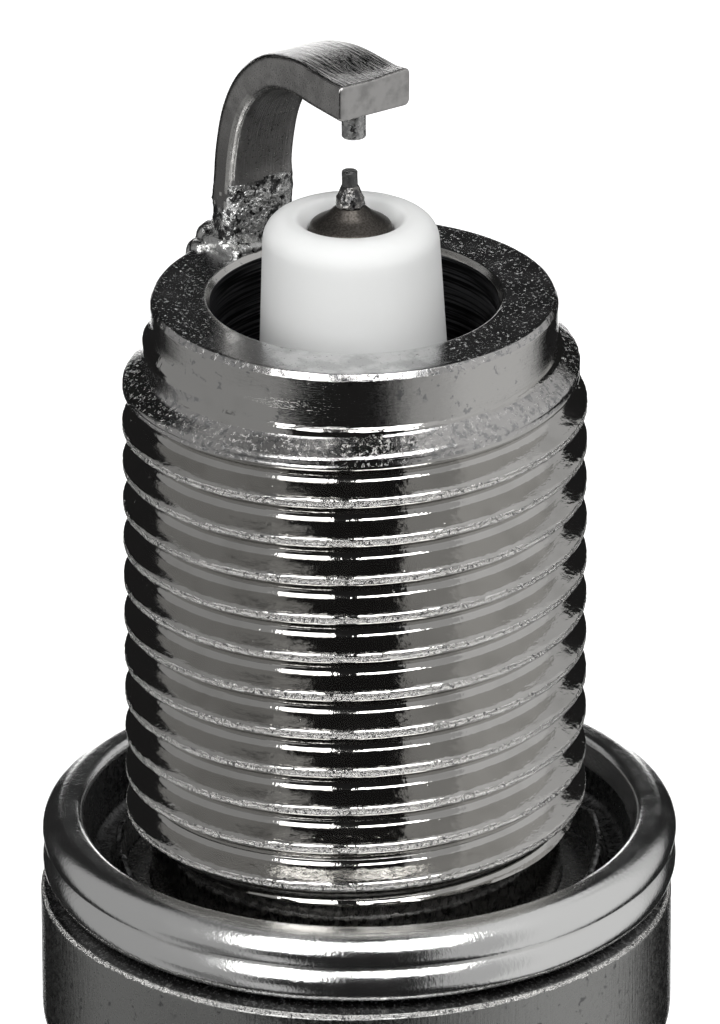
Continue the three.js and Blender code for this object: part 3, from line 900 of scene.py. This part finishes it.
def electrode_piece():
    """Nickel electrode that flares from the neck into the insulator's mouth."""
    corners = [
        (0, 19.8, 0), (0.79, 19.4, 0), (0.79, 3.2, 0), (1.3, 3.2, 0), (1.3, 4.4, 0),
        (1.94, 4.4, 0.1), (1.94, 5.1, 0.1), (1.27, 5.5, 0), (1.27, 21.05, 0.2),
        (1.2, 21.32, 0.15), (0.72, 21.6, 0.6), (0.4, 21.9, 0.3), (0.36, 22.0, 0), (0, 22.0, 0),
    ]
    return turned("center_electrode_fine", corners, grain=(0.3, 0.012, 21.1, 23), leans=True)


def tip_weld_piece():
    corners = [
        (0, 21.75, 0), (0.4, 21.75, 0.05), (0.44, 21.95, 0.15), (0.42, 22.15, 0.15),
        (0.29, 22.45, 0.12), (TIP_RADIUS, 22.55, 0.03), (0, 22.55, 0),
    ]
    return turned("tip_weld_fine", corners, longest=0.04, grain=(0.16, 0.05), leans=True)


def tip_piece():
    corners = [
        (0, 22.3, 0), (TIP_RADIUS, 22.3, 0), (TIP_RADIUS, TIP_TOP, 0.03), (0, TIP_TOP, 0),
    ]
    return turned("iridium_tip_fine", corners, longest=0.06, grain=(0.12, 0.006), leans=True)


# ---------- ground electrode

STRAP_LINE = [
    (-5.26, 19.02), (-5.24, 21.0), (-5.12, 22.2), (-4.75, 23.5), (-4.05, 24.6), (-3.0, 25.38),
    (-1.7, 25.7), (-0.4, 25.72), (1.03, 25.7),
]
STRAP_THICKNESS = 1.13
LEG_WIDTH = 2.4
END_WIDTH = 2.56
LEG_SHIFT = -0.08             # the strap is bent very slightly out of line
END_SHIFT = 0.05
STRAP_STEPS = 120


def curve_through(points, steps):
    """Points and directions of a smooth curve through control points."""
    control = np.array(points, float)
    control = np.vstack([2 * control[0] - control[1], control, 2 * control[-1] - control[-2]])
    spans = len(points) - 1
    line = []
    for step in range(steps + 1):
        place = spans * step / steps
        index = min(int(place), spans - 1)
        t = place - index
        a, b, c, d = control[index:index + 4]
        line.append(0.5 * (2 * b + (c - a) * t + (2 * a - 5 * b + 4 * c - d) * t * t
                           + (3 * b - a - 3 * c + d) * t ** 3))
    line = np.array(line)
    along = np.gradient(line, axis=0)
    along /= np.linalg.norm(along, axis=1)[:, None]
    return line, along


def strap_section(width, corner, inset=0):
    """Closed outline of the strap, across and out, with rounded corners."""
    radius = max(0.02, corner - inset)
    across = width / 2 - inset - radius
    outwards = STRAP_THICKNESS / 2 - inset - radius

    def on_corner(side, level, angle):
        return (
            side * across + radius * math.cos(angle),
            level * outwards + radius * math.sin(angle),
        )

    outline = []
    sides = [(1, 1), (-1, 1), (-1, -1), (1, -1)]
    for index, here in enumerate(sides):
        start = math.pi / 2 * index
        end = start + math.pi / 2
        outline += [on_corner(*here, start + math.pi / 2 * step / 6) for step in range(7)]
        last = on_corner(*here, end)
        ahead = on_corner(*sides[(index + 1) % 4], end)
        outline += [
            tuple(p + (q - p) * step / 10 for p, q in zip(last, ahead)) for step in range(1, 10)
        ]
    outline.append(outline[0])
    return np.array(outline)


def strap_piece():
    """Strap swept along its middle line, with a rounded cut end and a rough, welded foot."""
    line, along = curve_through(STRAP_LINE, STRAP_STEPS)
    out = np.stack([-along[:, 1], along[:, 0]], axis=1)
    end_round = 0.09
    leg_corner, end_corner = 0.38, 0.18
    rings = []
    share = np.linspace(0, 1, STRAP_STEPS + 1)
    widths = LEG_WIDTH + (END_WIDTH - LEG_WIDTH) * smoothstep(share, 0.6, 0.95)
    corners = leg_corner + (end_corner - leg_corner) * smoothstep(share, 0.5, 0.9)
    for index in range(STRAP_STEPS + 1):
        section = strap_section(widths[index], corners[index])
        middle = line[index] - along[index] * (end_round if index == STRAP_STEPS else 0)
        rings.append(strap_ring(section, middle, out[index]))
    for step in range(1, 6):
        angle = math.pi / 2 * step / 5
        inset = end_round * (1 - math.cos(angle))
        section = strap_section(END_WIDTH, end_corner, inset)
        middle = line[-1] - along[-1] * end_round * (1 - math.sin(angle))
        rings.append(strap_ring(section, middle, out[-1]))
    for scale in (0.8, 0.5, 0.2, 0.0):
        section = strap_section(END_WIDTH, end_corner, end_round) * scale
        rings.append(strap_ring(section, line[-1], out[-1]))
    rings.insert(0, strap_ring(section * 0, line[0], out[0]))
    points = np.array(rings)
    points[..., 1] += LEG_SHIFT + (END_SHIFT - LEG_SHIFT) * smoothstep(points[..., 0], -4.5, -1.0)
    points = foot_roughened(pressed(points))
    piece = from_grid("ground_electrode_fine", points, sharp_degrees=50)
    paint_strap(piece, line, out)
    return piece


def paint_strap(piece, line, out):
    """Gives the strap's sides, inner face, outer face and melted foot their finishes."""
    finishes = [
        strap_finish("strap_side", (0.42, 0.41, 0.4), 0.16, 0.34, 0.006, 0.5),
        # Inner face: the same alloy tinted darker, a painted shade between strap and electrode.
        strap_finish("strap_inner_shade", (0.26, 0.255, 0.25), 0.24, 0.42, 0.016),
        strap_finish("strap_outer", (0.48, 0.47, 0.46), 0.08, 0.18, 0.03),
        weld_finish("melted_strap", 0.17, 0.5),
        # Inner bevels: the same alloy tinted lighter, a painted highlight.
        strap_finish("strap_edge_highlight", (0.6, 0.59, 0.57), 0.22, 0.4, 0.02),
        strap_finish("strap_end", (0.52, 0.51, 0.5), 0.3, 0.42, 0.002),
    ]
    side, inner, outer, foot, edge, end = range(6)
    centres, normals = faces_of(piece)
    gaps = np.linalg.norm(centres[:, None, [0, 2]] - line[None, :, :], axis=2)
    outward = out[gaps.argmin(axis=1)]
    facing = normals[:, 0] * outward[:, 0] + normals[:, 2] * outward[:, 1]
    ragged = 0.12 * fractal(centres / 0.5)
    index = np.full(len(centres), side)
    index[facing > 0.75] = outer
    # Faces looking inwards take the darker tone: painted shade.
    index[facing < -0.75] = inner
    on_bevel = (facing < -0.25) & (facing > -0.8) & (np.abs(normals[:, 1]) > 0.5)
    # Inner bevels take the lighter tone: painted highlight.
    index[on_bevel & (centres[:, 2] < 24.5)] = edge
    index[(centres[:, 0] > 0.5) & (normals[:, 0] > 0.8)] = end
    melted = np.where(facing < -0.5, 21.15, 20.3) + 2.2 * ragged
    index[centres[:, 2] < melted] = foot
    paint(piece, finishes, index)


def strap_ring(section, middle, out):
    """Section placed at a point of the strap's line. Width runs along Y."""
    return np.stack([
        middle[0] + out[0] * section[:, 1],
        section[:, 0],
        middle[1] + out[1] * section[:, 1],
    ], axis=1)


def pressed(points):
    """Shallow dish that the welding electrode left in the top of the strap, over the pin."""
    x, y, z = points[..., 0], points[..., 1], points[..., 2]
    on_top = smoothstep(z, 25.8, 26.1)
    dish = np.exp(-((x - 0.1) / 0.75) ** 2) * np.exp(-(y / 1.0) ** 2)
    corner = smoothstep(x, 0.3, 1.03) * smoothstep(y, -0.2, 1.2)
    points[..., 2] += -0.09 * dish * on_top + 0.07 * corner * smoothstep(z, 25.1, 25.6)
    return points


def foot_roughened(points):
    """Foot of the strap, swollen and roughened by the weld."""
    z = points[..., 2]
    near_foot = smoothstep(-z, -21.6, -20.6) * (z > 19.05)
    lumps = fractal(points / 0.35 + 2.2)
    fine = fractal(points / 0.12 + 7.9, 2)
    push = near_foot * (0.05 + 0.09 * lumps + 0.02 * fine)
    centre = np.array([-5.2, 0.0])
    offset = points[..., :2] - centre
    length = np.maximum(np.linalg.norm(offset, axis=-1), 0.2)
    points[..., :2] += offset / length[..., None] * push[..., None]
    return points


def weld_blob(centre, radii, seed, detail=4):
    """Lump of weld metal, as vertices and triangles in millimetres."""
    work = bmesh.new()
    bmesh.ops.create_icosphere(work, subdivisions=detail, radius=1.0)
    vertices = np.array([vertex.co for vertex in work.verts])
    faces = np.array([[vertex.index for vertex in face.verts] for face in work.faces])
    work.free()
    swell = 1 + 0.12 * fractal(vertices * 1.3 + seed)
    return np.array(centre) + vertices * np.array(radii) * swell[:, None], faces


def joined_blobs(name, blobs, voxel):
    """One closed mesh from overlapping lumps."""
    vertices, faces, start = [], [], 0
    for points, triangles in blobs:
        vertices.append(points)
        faces.append(triangles + start)
        start += len(points)
    piece = make_object(name, np.vstack(vertices) * MM, np.vstack(faces))
    remesh = piece.modifiers.new("remesh", "REMESH")
    remesh.mode = "VOXEL"
    remesh.voxel_size = voxel * MM
    smooth = piece.modifiers.new("smooth", "SMOOTH")
    smooth.iterations = 4
    bpy.context.view_layer.objects.active = piece
    evaluated = piece.evaluated_get(bpy.context.evaluated_depsgraph_get())
    mesh = bpy.data.meshes.new_from_object(evaluated)
    piece.modifiers.clear()
    piece.data = mesh
    points = vectors(mesh.vertices, "co")
    lift = 0.015 * fractal(points / MM / 0.25)
    points = points + vectors(mesh.vertices, "normal") * lift[:, None] * MM
    mesh.vertices.foreach_set("co", points.ravel())
    mesh.shade_smooth()
    return piece


def strap_weld_piece():
    """Flash squeezed out round the strap's foot, with a curl over the rim."""
    foot = 19.12
    lumps = [
        ((-6.0, -1.5, 18.66), (0.42, 0.46, 0.5), 1.0),
        ((-6.15, -0.9, 19.12), (0.46, 0.6, 0.42), 2.0),
        ((-5.9, 0.2, foot), (0.42, 1.3, 0.3), 3.0),
        ((-5.95, 1.15, foot), (0.35, 0.35, 0.3), 4.0),
        ((-5.2, 1.2, foot), (0.85, 0.32, 0.28), 5.0),
        ((-5.35, -1.2, foot + 0.02), (0.75, 0.36, 0.32), 6.0),
        ((-4.75, -1.18, foot - 0.06), (0.45, 0.25, 0.22), 11.0),
        ((-4.66, 0.5, foot - 0.05), (0.28, 1.0, 0.24), 7.0),
        ((-4.64, -0.7, foot - 0.05), (0.28, 0.7, 0.22), 8.0),
        ((-4.7, 1.35, foot - 0.1), (0.4, 0.4, 0.2), 9.0),
        ((-5.75, -1.7, 18.95), (0.32, 0.26, 0.26), 12.0),
    ]
    blobs = [weld_blob(*lump) for lump in lumps]
    return joined_blobs("ground_electrode_weld_fine", blobs, 0.045)


def pin_piece():
    strap_bottom = 25.1
    corners = [
        (0, PIN_BOTTOM, 0), (PIN_RADIUS, PIN_BOTTOM, 0.05), (PIN_RADIUS, strap_bottom + 0.1, 0),
        (0, strap_bottom + 0.1, 0),
    ]
    return turned("ground_pin_fine", corners, longest=0.07, grain=(0.14, 0.008))


def pin_weld_piece():
    blobs = []
    for step in range(8):
        angle = math.pi * step / 4 + 0.2
        centre = (PIN_RADIUS * math.cos(angle), PIN_RADIUS * math.sin(angle), 25.08)
        blobs.append(weld_blob(centre, (0.15, 0.15, 0.09), 20.0 + step, 3))
    return joined_blobs("ground_pin_weld_fine", blobs, 0.02)


# ---------- terminal


def stud_piece():
    """Terminal stud: stepped tip, shank, flange and M4 thread."""
    thread_end = -49.4
    thread_top = -42.31
    run_out = 1.5             # radius where the thread ends, just under its root
    below = [
        (0, thread_end - 0.4, 0), (1.2, thread_end - 0.4, 0.05), (run_out, thread_end, 0),
    ]
    above = [
        (run_out, thread_top, 0), (run_out, -42.01, 0), (2.9, -42.01, 0.1),
        (2.9, INSULATOR_END - 0.04, 0.1), (1.9, INSULATOR_END - 0.04, 0), (1.9, -15.6, 0.1),
        (1.55, -15.2, 0.1), (1.55, -11.8, 0.1), (1.25, -11.5, 0.1), (0, -11.5, 0),
    ]
    pitch = 0.7
    profile = thread_rows(1.97, pitch, 0.045, 0.1, 0.0)
    radius, height, _, _ = thread_grid(thread_end, thread_top, pitch, 0.0, profile, SMALL_COLUMNS)
    from_ends = np.minimum(height - thread_end, thread_top - height)
    threads = np.minimum(radius, run_out + from_ends), height
    low = open_grid(below, 0.3, SMALL_COLUMNS)
    high = open_grid(above, 0.4, SMALL_COLUMNS)
    return from_grid("terminal_stud_fine", stacked([low, threads, high], SMALL_COLUMNS))


def nut_piece():
    """Terminal nut: rounded head, waist for the lead's clip, plain bore."""
    length = NUT_TOP - NUT_BOTTOM
    corners = [
        (0, NUT_BOTTOM, 0), (2.5, NUT_BOTTOM, 0.4), (3.175, NUT_BOTTOM + 0.75, 0.6),
        (3.175, NUT_BOTTOM + 0.4 * length, 0.35), (2.7, NUT_BOTTOM + 0.47 * length, 0.3),
        (2.7, NUT_BOTTOM + 0.66 * length, 0.3), (3.175, NUT_BOTTOM + 0.75 * length, 0.3),
        (3.175, NUT_TOP - 0.2, 0.1), (3.0, NUT_TOP, 0.05), (2.25, NUT_TOP, 0.05),
        (2.05, NUT_TOP - 0.2, 0.05), (2.05, NUT_BOTTOM + 0.65, 0), (0, NUT_BOTTOM + 0.65, 0),
    ]
    return turned("terminal_nut_fine", corners, MEDIUM_COLUMNS, 0.25)


# ---------- stage


def in_view(right, away, up):
    """Point given from the camera's azimuth: to the right, away from it, and up."""
    a = CAMERA_AZIMUTH
    return Vector((
        right * math.cos(a) - away * math.sin(a),
        right * math.sin(a) + away * math.cos(a),
        up,
    ))


def add_camera():
    """Long lens, 0.4 m from the plug, turned very slightly about its own axis."""
    distance = 0.4
    target = in_view(0.151, 0, 11.926) * MM
    level = math.cos(CAMERA_ELEVATION)
    back = in_view(0, -level, math.sin(CAMERA_ELEVATION))
    data = bpy.data.cameras.new("camera")
    data.sensor_width = 36
    data.lens = 468.7
    data.clip_start = 0.01
    data.clip_end = 20
    camera = shown("camera", data)
    camera.rotation_mode = "QUATERNION"
    camera.location = target + back * distance
    aim = (-back).to_track_quat("-Z", "Y").to_matrix()
    tilt = Matrix.Rotation(math.radians(-0.177), 3, "Z")
    camera.rotation_quaternion = (aim @ tilt).to_quaternion()
    bpy.context.scene.camera = camera


def add_sheet(name, corners, material):
    """Flat sheet that only lights, reflects or lies under the plug. Its corners are in metres."""
    mesh = bpy.data.meshes.new(name)
    mesh.from_pydata(corners, [], [tuple(range(len(corners)))])
    mesh.materials.append(material)
    sheet = shown(name, mesh)
    return sheet


def add_panel(name, corners, strength):
    """Soft light: a glowing sheet that reflections see and the camera does not."""
    material = bpy.data.materials.new(name)
    material.use_nodes = True
    nodes = material.node_tree.nodes
    nodes.clear()
    light = nodes.new("ShaderNodeEmission")
    light.inputs["Strength"].default_value = strength
    output = nodes.new("ShaderNodeOutputMaterial")
    material.node_tree.links.new(light.outputs[0], output.inputs["Surface"])
    panel = add_sheet(name, [in_view(*corner) * MM for corner in corners], material)
    panel.visible_camera = False
    panel.visible_shadow = False


def direction(azimuth, elevation, distance):
    """Point in a direction seen from the plug: azimuth from the camera to the right."""
    a, e = math.radians(azimuth), math.radians(elevation)
    return (
        distance * math.cos(e) * math.sin(a),
        -distance * math.cos(e) * math.cos(a),
        distance * math.sin(e),
    )


def add_key(name, rows, strength):
    """Bright patch far from the plug. A row is (elevation, first azimuth, last azimuth)."""
    far = 450
    corners = [direction(first, elevation, far) for elevation, first, _ in rows]
    corners += [direction(last, elevation, far) for elevation, _, last in reversed(rows)]
    add_panel(name, corners, strength)


def add_low(name, first, last, strength):
    """Sheet in front of the left wall, low down, where the thread's flanks mirror each other."""
    outline = (first, -27.5), (last, -27.5), (last, -60), (first, -60)
    add_panel(name, [direction(*corner, 250) for corner in outline], strength)


def add_wall(name, side, outline, strength):
    """Upright panel to one side. Its outline is given by distances away and up."""
    add_panel(name, [(side, *corner) for corner in outline], strength)


def add_lights():
    """Grey walls and roofs whose edges the plating mirrors, and bright keys above the camera."""
    left, right = 0.3, 0.58
    left_outline = [(-400, -500), (133, -500), (260, 200), (340, 500), (-400, 500)]
    add_wall("left_wall", -300, left_outline, left)
    for name, inner, outer, share in (
        ("left_roof", -240, -300, 1),
        ("left_gap", -135, -240, 0.47),
        ("left_strip", -82, -135, 1.25),
        ("left_edge", -58, -82, 0.6),
    ):
        corners = [(outer, -250, 500), (outer, 340, 500), (inner, 340, 500), (inner, -250, 500)]
        add_panel(name, corners, share * left)
    add_wall("right_wall", 300, [(-200, -500), (-200, 500), (260, 500), (55, -500)], right)
    add_wall("right_back", 300, [(55, -500), (260, 500), (525, 500)], 0.8 * right)
    front_outline = [(-615, -500), (-615, 500), (-200, 500), (-200, -500)]
    add_wall("right_front", 300, front_outline, 0.68 * right)
    roof_corners = [(300, -400, 500), (300, 558, 500), (100, 558, 500), (100, -100, 500)]
    add_panel("right_roof", roof_corners, right)
    add_key("key_left", [(5, -40, -14), (33, -46, -13), (60, -54, -24), (72, -62, -34)], 4.3)
    right_rows = [(27, 1, 33), (33, 0, 34), (45, -3, 42), (60, -4, 53), (72, -8, 61)]
    add_key("key_right", right_rows, 5.4)
    add_low("low_left", -49, -27, 1.4 * left)
    add_low("low_middle", -77, -49, 0.45 * left)
    add_key("backdrop", [(-40, 168, 192), (-15, 168, 192), (14, 168, 192)], 1.7)


def add_floor():
    """Plain pale floor, low enough for the terminal nut to unscrew above it."""
    size = 3.0
    level = cad_box[0].z - 10 * MM
    floor = Finish("floor", 0.0)
    floor.set("Base Color", (0.6, 0.6, 0.6))
    floor.set("Roughness", 0.9)
    floor.set("Specular IOR Level", 0.0)
    floor.set("Emission Color", (1.0, 1.0, 1.0))
    floor.set("Emission Strength", 0.85)
    corners = [(x * size, y * size, level) for x, y in ((-1, -1), (1, -1), (1, 1), (-1, 1))]
    sheet = add_sheet("floor", corners, floor.material)
    sheet.visible_glossy = False
    sheet.visible_diffuse = False


def add_world():
    world = bpy.data.worlds.new("world")
    world.use_nodes = True
    background = world.node_tree.nodes["Background"]
    background.inputs["Color"].default_value = (1, 1, 1, 1)
    background.inputs["Strength"].default_value = 0.015
    bpy.context.scene.world = world
    bpy.context.scene.view_settings.view_transform = "Standard"


# ---------- assembly


def place(piece, node, body, slot, finish=None):
    """Puts a fine piece in place of its CAD node."""
    if finish is not None:
        piece.data.materials.append(finish)
    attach(piece, body)
    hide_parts(node)


def finish_cad_nodes(material, *names):
    """Gives CAD nodes that stay their procedural material."""
    for name in names:
        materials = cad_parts[name].data.materials
        materials.clear()
        materials.append(material)


def build():
    weld = weld_finish("weld_metal", 0.08, 0.58)
    precious = precious_finish()
    terminal = terminal_finish()
    shell = shell_piece()
    paint_shell(shell)
    place(shell, "shell", "plug", "shell")
    place(gasket_piece(), "gasket", "crush_gasket", "gasket")
    place(insulator_piece(), "insulator", "plug", "insulator")
    place(electrode_piece(), "center_electrode", "plug", "electrode", electrode_finish())
    place(tip_weld_piece(), "tip_weld", "plug", "weld", nugget_finish())
    place(tip_piece(), "iridium_tip", "plug", "precious_tip", precious)
    place(strap_piece(), "ground_electrode", "plug", "strap")
    place(strap_weld_piece(), "ground_electrode_weld", "plug", "weld", weld)
    place(pin_piece(), "ground_pin", "plug", "precious_tip", pin_finish())
    place(pin_weld_piece(), "ground_pin_weld", "plug", "weld", weld)
    place(stud_piece(), "terminal_stud", "plug", "terminal", terminal)
    place(nut_piece(), "terminal_nut", "terminal", "terminal", terminal)
    packing = plain_finish("packing_steel", (0.5, 0.5, 0.51), 1.0, 0.4, 0.1, 0.004)
    glass = plain_finish("sealing_glass", (0.08, 0.085, 0.1), 0.0, 0.3, 0.15, 0.01)
    talc = plain_finish("talc", (0.8, 0.79, 0.75), 0.0, 0.9, 0.08, 0.01)
    copper = plain_finish("copper", (0.72, 0.4, 0.24), 1.0, 0.3, 0.1, 0.002)
    resistor = plain_finish("resistor", (0.06, 0.06, 0.065), 0.0, 0.7, 0.12, 0.01)
    finish_cad_nodes(packing, "seat_packing", "lower_packing_ring", "upper_packing_ring")
    finish_cad_nodes(talc, "talc_filling")
    finish_cad_nodes(copper, "center_electrode_core")
    finish_cad_nodes(glass, "lower_glass_seal", "upper_glass_seal")
    finish_cad_nodes(resistor, "resistor")


add_camera()
add_world()
add_floor()
add_lights()
build()
